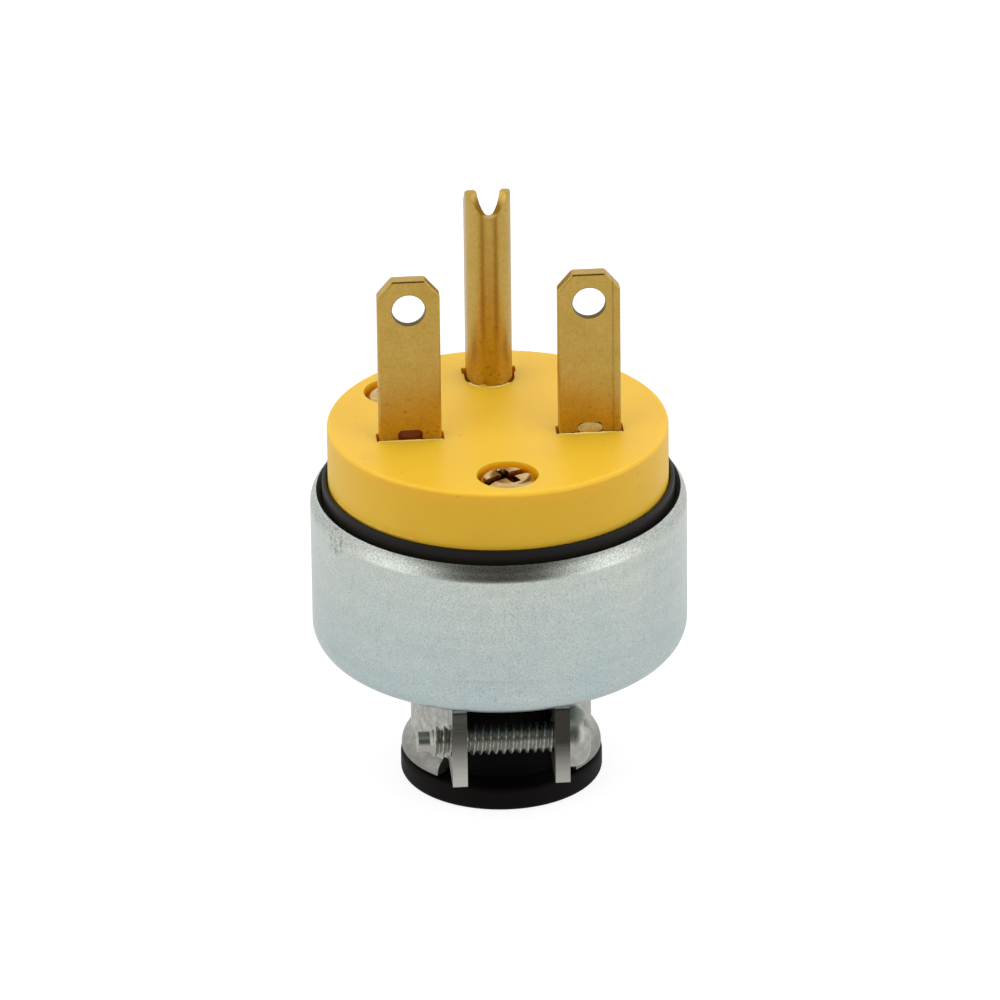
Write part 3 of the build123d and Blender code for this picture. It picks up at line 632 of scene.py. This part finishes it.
def screw_surface(
    head_r, head_h, edge_across, edge_down, shank_r, length, tip_r, tip_h, pitch, depth, recess=1.0,
):
    """Rings of points from the top of the head down to the tip, in mm, with the head's seat at z = 0.
    The outline is a shallow dome, an elliptic edge, the seat, the thread and the dog point. In the
    thread the radius is the crest less depth times a flattened triangle wave of z/pitch + turn. The
    recess has flat floors, so its slot runs out where the edge falls below its floor. In each quarter
    turn some columns follow the recess's sides, at turn = arcsin(half width / radius)."""
    dome, pole_r, tip_chamfer = 0.12, 0.04, 0.15
    top_rings, edge_rings, rings_per_pitch = 34, 11, 13
    recess_floor, recess_mouth = 0.40, 0.52
    quarter = np.pi / 2
    top_r = np.linspace(pole_r, head_r - edge_across, top_rings)
    top_z = head_h - dome * (top_r / head_r) ** 2
    bend = np.linspace(0, quarter, edge_rings + 1)[1:]
    edge_r = head_r - edge_across + edge_across * np.sin(bend)
    edge_z = top_z[-1] - edge_down * (1 - np.cos(bend))
    thread_end = -(length - tip_h)
    thread_z = np.arange(-0.05, thread_end + 0.25, -pitch / rings_per_pitch)
    outline_r = np.concatenate([
        top_r, edge_r, [head_r, (head_r + shank_r) / 2],
        np.full(len(thread_z), shank_r), [tip_r, tip_r, tip_r - tip_chamfer, pole_r],
    ])
    outline_z = np.concatenate([
        top_z, edge_z, [0, 0], thread_z,
        [thread_end, -length + tip_chamfer, -length, -length],
    ])
    floor_turn = np.arcsin(np.clip(recess_floor / outline_r, 0, 0.60))
    mouth_turn = np.arcsin(np.clip(recess_mouth / outline_r, 0, 0.66))
    half_knots = np.stack([0 * floor_turn, floor_turn, mouth_turn], axis=1)
    knots = np.concatenate([half_knots, quarter - half_knots[:, ::-1]], axis=1)
    column_of_knot = np.array([0, 6, 8, 18, 20, 26])
    gone = (np.arange(column_of_knot[-1]) - column_of_knot[:-1, None]) / np.diff(column_of_knot)[:, None]
    quarter_turn = np.diff(knots, axis=1) @ np.clip(gone, 0, 1)
    t = np.concatenate([quarter_turn + n * quarter for n in range(4)], axis=1)
    r = np.repeat(outline_r[:, None], t.shape[1], axis=1)
    z = np.repeat(outline_z[:, None], t.shape[1], axis=1)
    wave = np.abs(2 * np.mod(z / pitch + t / (2 * np.pi), 1) - 1)
    cut = np.clip(1.3 * wave - 0.15, 0, 1) * ease(0.2, 0.9, -z) * ease(0, 0.5, z - thread_end)
    head_rings = top_rings + edge_rings
    first = head_rings + 2
    in_thread = np.zeros(len(outline_r), bool)
    in_thread[first:first + len(thread_z)] = True
    r = r - depth * cut * in_thread[:, None]
    x, y = r * np.cos(t), r * np.sin(t)
    slot = 1 - ease(recess_floor, recess_mouth, np.abs(y))
    arm_wide = 1 - ease(recess_floor, recess_mouth, np.abs(x))
    arm = arm_wide * (1 - ease(0.50 * head_r, 0.56 * head_r, np.abs(y)))
    on_top = np.arange(len(outline_r))[:, None] < head_rings
    above_slot_floor = np.clip(z - (head_h - 0.75 * recess), 0, None)
    above_arm_floor = np.clip(z - (head_h - 0.95 * recess), 0, None)
    z = z - on_top * np.maximum(slot * above_slot_floor, arm * above_arm_floor)
    return np.stack([x, y, z], axis=-1)


def ring_faces(rings, columns, start=0):
    """Quads between neighbouring rings, closed round each ring, and a fan at both ends.
    Point number = start + ring * columns + column; the two end points follow the last ring."""
    i, j = np.meshgrid(np.arange(rings - 1), np.arange(columns), indexing="ij")
    k = (j + 1) % columns
    this, following = i * columns, (i + 1) * columns
    quads = np.stack([this + j, following + j, following + k, this + k], axis=-1)
    a, b = np.arange(columns), (np.arange(columns) + 1) % columns
    last = (rings - 1) * columns
    top = np.stack([np.full(columns, rings * columns), a, b], axis=-1)
    end = np.stack([np.full(columns, rings * columns + 1), last + b, last + a], axis=-1)
    return (quads.reshape(-1, 4) + start).tolist() + (top + start).tolist() + (end + start).tolist()


def closed_piece(name, surfaces, material, sharp_deg=32):
    """One object of closed ringed surfaces, points in mm, riding on the plug."""
    points, faces = [], []
    for grid in surfaces:
        faces += ring_faces(grid.shape[0], grid.shape[1], sum(len(p) for p in points))
        points.append(np.concatenate([grid.reshape(-1, 3), grid[0].mean(0)[None], grid[-1].mean(0)[None]]))
    mesh = bpy.data.meshes.new(name)
    mesh.from_pydata((np.concatenate(points) * MM).tolist(), [], faces)
    mesh.polygons.foreach_set("use_smooth", np.ones(len(mesh.polygons), bool))
    mesh.set_sharp_from_angle(angle=math.radians(sharp_deg))
    mesh.materials.append(material)
    piece = bpy.data.objects.new(name, mesh)
    bpy.context.scene.collection.objects.link(piece)
    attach(piece, "root")
    print(name, "faces:", len(mesh.polygons))
    return piece


def set_along(grid, seat, direction, twist=0.0):
    """Turns a surface made along +z so that it points along direction, and puts its seat in place.
    The twist, in radians about its own axis, comes first."""
    swing = Vector((0, 0, 1)).rotation_difference(Vector(direction)).to_matrix()
    turn = swing @ Matrix.Rotation(twist, 3, "Z")
    return grid @ np.array(turn).T + np.array(seat)


# %% [markdown]
# ## The clamp screws
# Two 3.2 mm screws with 32 threads to the inch draw the clamp halves together, one put in from
# each side. Their ends are turned down to a dog point, which shows at the front left.

# %% Clamp screws
PITCH = 25.4 / 32
ear_sheet = 1.5
ear_outer_x = clamp_low.x / MM + ear_sheet
screws_low, screws_high = (np.array(corner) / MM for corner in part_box("clamp_screws"))
clamp_head_r = (screws_high[2] - screws_low[2]) / 2
clamp_screw_y = screws_high[1] - clamp_head_r
clamp_screw_z = (screws_high[2] + screws_low[2]) / 2
clamp_screw_length = screws_high[0] + ear_outer_x
clamp_screw = screw_surface(
    clamp_head_r, head_h=2.3, edge_across=1.9, edge_down=1.75, shank_r=1.6, length=clamp_screw_length,
    tip_r=1.1, tip_h=1.3, pitch=PITCH, depth=0.40,
)
clamp_screws = closed_piece(
    "threaded_clamp_screws",
    [
        set_along(clamp_screw, (ear_outer_x, -clamp_screw_y, clamp_screw_z), (1, 0, 0), 0.6),
        set_along(clamp_screw, (-ear_outer_x, clamp_screw_y, clamp_screw_z), (-1, 0, 0), 1.3),
    ],
    finishes["bright_zinc_screw"],
)
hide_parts("clamp_screws")

# %% [markdown]
# ## The face screws
# Three pan heads lie sunk in the face. Their bright plating mirrors the yellow walls around
# them, and the recess breaks that up into sharp lights and darks. The heads are taller than the
# solids' by head_rise, so that they end just under the face, as the real ones do.

# %% Face screws
screws_low, screws_high = (np.array(corner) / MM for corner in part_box("face_screws"))
face_head_r = 2.9
face_head_h = 1.7
screw_circle_r = -screws_low[1] - face_head_r
back_turn = math.degrees(math.acos((screws_high[0] - face_head_r) / screw_circle_r))
head_seat_z = screws_high[2] - face_head_h
face_screw = screw_surface(
    face_head_r, head_h=face_head_h + head_rise / MM, edge_across=1.3, edge_down=0.9, shank_r=1.5,
    length=head_seat_z - screws_low[2], tip_r=1.0, tip_h=0.4, pitch=PITCH, depth=0.38, recess=1.5,
)
placed_screws = []
# Where each screw stands round the face, in degrees, and how far it is screwed round, in radians.
for stands, twist in ((-90, 0.5), (back_turn, 2.1), (180 - back_turn, 1.2)):
    angle = math.radians(stands)
    seat = (screw_circle_r * math.cos(angle), screw_circle_r * math.sin(angle), head_seat_z)
    placed_screws.append(set_along(face_screw, seat, (0, 0, 1), twist))
face_screws = closed_piece("sunk_face_screws", placed_screws, straw_screw)
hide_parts("face_screws")

# %% [markdown]
# ## Moulding flash
# Where the mould's halves or its slot cores do not quite meet, the melt creeps into the gap and
# leaves a thin fin. A low lip runs along the front of each slot, where it catches the light as a
# fine bright line, a longer sliver has curled up in front of the pin, and a ragged fin hangs
# along part of the lower edge of the face. Each fin is a small three-cornered section carried
# along a path, with its height a sum of sines, which is ragged but the same on every run.

# %% Flash fins
def ragged(t, seed):
    """Between 0 and 1: four sines of rising frequency and fixed phases, squared so that peaks are rare."""
    once_round = 6.283
    waves = np.array([[3.0], [7.0], [13.0], [29.0]])
    phases = np.array([[0.3], [1.9], [4.1], [2.7]]) + seed
    weaker = np.array([[1.0], [1.3], [1.8], [2.6]])
    mixed = (np.sin(waves * t * once_round + phases) / weaker).sum(0)
    return np.clip(0.5 + 0.33 * mixed, 0, 1) ** 2


def flash_fin(path, out, tall, wide, seed, even=0.15, lean=0.0):
    """A fin along a path of points: two corners on the base and one at the edge. The edge's height
    is tall * (even + (1 - even) * ragged), fading to least at both ends, and it leans outward by lean
    times that."""
    least = 0.01
    t = np.linspace(0, 1, len(path))
    height = tall * (even + (1 - even) * ragged(t, seed)) * np.sin(np.pi * t) ** 0.5
    edge = path + lean * np.abs(height)[:, None] * out
    edge[:, 2] += height + least * np.sign(tall)
    return np.stack([path - wide / 2 * out, path + wide / 2 * out, edge], axis=1)


def arc_path(centre, radius, from_deg, to_deg, z, count=160):
    """Points and outward directions along a level arc."""
    angle = np.radians(np.linspace(from_deg, to_deg, count))
    out = np.stack([np.cos(angle), np.sin(angle), np.zeros(count)], -1)
    return np.array([centre[0], centre[1], z]) + radius * out, out


def line_path(middle_x, half, y, z, wave, seed, count=120):
    """Points along X that waver in Y by up to wave, and the outward direction -Y."""
    t = np.linspace(0, 1, count)
    points = np.stack([middle_x + half * (2 * t - 1), y - wave * ragged(t, seed), np.full(count, z)], -1)
    return points, np.tile([0.0, -1.0, 0.0], (count, 1))


face_high_mm = np.array(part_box("face_body")[1]) / MM
face_top_z, face_r = face_high_mm[2], face_high_mm[0]
pin_r = 4.67 / 2
pin_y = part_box("ground_pin")[0].y / MM + pin_r
blade_middle = blade_x / MM
blade_front = blade_low.y / MM
blade_half = 6.35 / 2
lip_wide = 0.34
lip_half = blade_half + 0.1
touch = 0.01
lip_y = blade_front - touch - lip_wide / 2
lip_z = face_top_z - 0.02
slot_arc = pin_r + touch + lip_wide / 2
face_low_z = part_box("insulating_liner")[1].z / MM + 0.12
left_lip = line_path(-blade_middle, lip_half, lip_y, lip_z, wave=0.04, seed=0.9)
right_lip = line_path(blade_middle, lip_half, lip_y, lip_z, wave=0.10, seed=2.6)
pin_lip = arc_path((0, pin_y), slot_arc, 206, 322, lip_z)
pin_sliver = arc_path((0, pin_y), slot_arc, 241, 262, lip_z)
lower_edge = arc_path((0, 0), face_r + 0.02, 196, 236, face_low_z)
fins = [
    flash_fin(*left_lip, tall=0.09, wide=lip_wide, seed=2.2, even=0.8),
    flash_fin(*right_lip, tall=0.11, wide=lip_wide, seed=0.7, even=0.7),
    flash_fin(*pin_lip, tall=0.12, wide=lip_wide, seed=1.1, even=0.7),
    flash_fin(*pin_sliver, tall=0.60, wide=0.16, seed=0.4, even=0.5, lean=0.5),
    flash_fin(*lower_edge, tall=-0.22, wide=0.12, seed=1.7),
]
# The flash's colour is partly painted: paler than the face, for light through the thin fins.
closed_piece("moulding_flash", fins, finishes["thin_nylon_flash_painted_pale"])

# %% [markdown]
# ## What fills the blades' windows
# In the left blade's window stands a tongue of the moulding, coloured dark reddish brown as
# painted shade for the deep shade there. The right blade's window is filled by a swollen lip of
# brass, punched through from behind, which catches the white room as a pale oval, and its colour
# is painted pale as well, as a painted highlight. Both are domes over a rounded-oblong outline:
# out from the middle the height falls as a power of the distance, with a little waviness.

# %% Window tongue and bulge
def bulge_surface(half_wide, half_high, swell, sunk, power):
    """Rings from the top outward: the outline is a superellipse of this power, the height is
    swell * (1 - u^2.5) with small waves, and a last ring goes straight back to depth sunk."""
    pole, rings, columns = 0.03, 26, 72
    round_it = np.linspace(0, 2 * np.pi, columns, endpoint=False)
    u, turn = np.meshgrid(np.linspace(pole, 1, rings), round_it, indexing="ij")
    c, s = np.cos(turn), np.sin(turn)
    spread = (np.abs(c) ** power + np.abs(s) ** power) ** (-1 / power)
    x, y = half_wide * u * spread * c, half_high * u * spread * s
    z = swell * (1 - u**2.5) + 0.02 * np.sin(5.1 * x + 1.0) * np.sin(7.3 * y + 0.4) * (1 - u)
    dome = np.stack([x, y, z], -1)
    rear = dome[-1:] * np.array([1, 1, 0]) - np.array([0, 0, sunk])
    return np.concatenate([dome, rear])


window_top = 1.05
fill_half_wide = 1.24
fill_half_high = 0.62
fill_z = face_top_z + window_top - fill_half_high
tongue_back = 0.45
to_front = (0, -1, 0)
# Painted shade: the tongue is a dark piece where the window shows only shade.
tongue = bulge_surface(fill_half_wide, fill_half_high, swell=0.04, sunk=0.5, power=3)
tongue = set_along(tongue, (-blade_middle, blade_front + tongue_back, fill_z), to_front)
closed_piece("window_tongue", [tongue], finishes["painted_shade_nylon"], sharp_deg=50)
# Painted highlight: the bulge wears the pale burr colour.
bulge = bulge_surface(fill_half_wide, fill_half_high, swell=0.22, sunk=0.8, power=2.2)
bulge = set_along(bulge, (blade_middle, blade_front, fill_z), to_front)
closed_piece("window_bulge", [bulge], finishes["brass_burr_painted_pale"], sharp_deg=50)
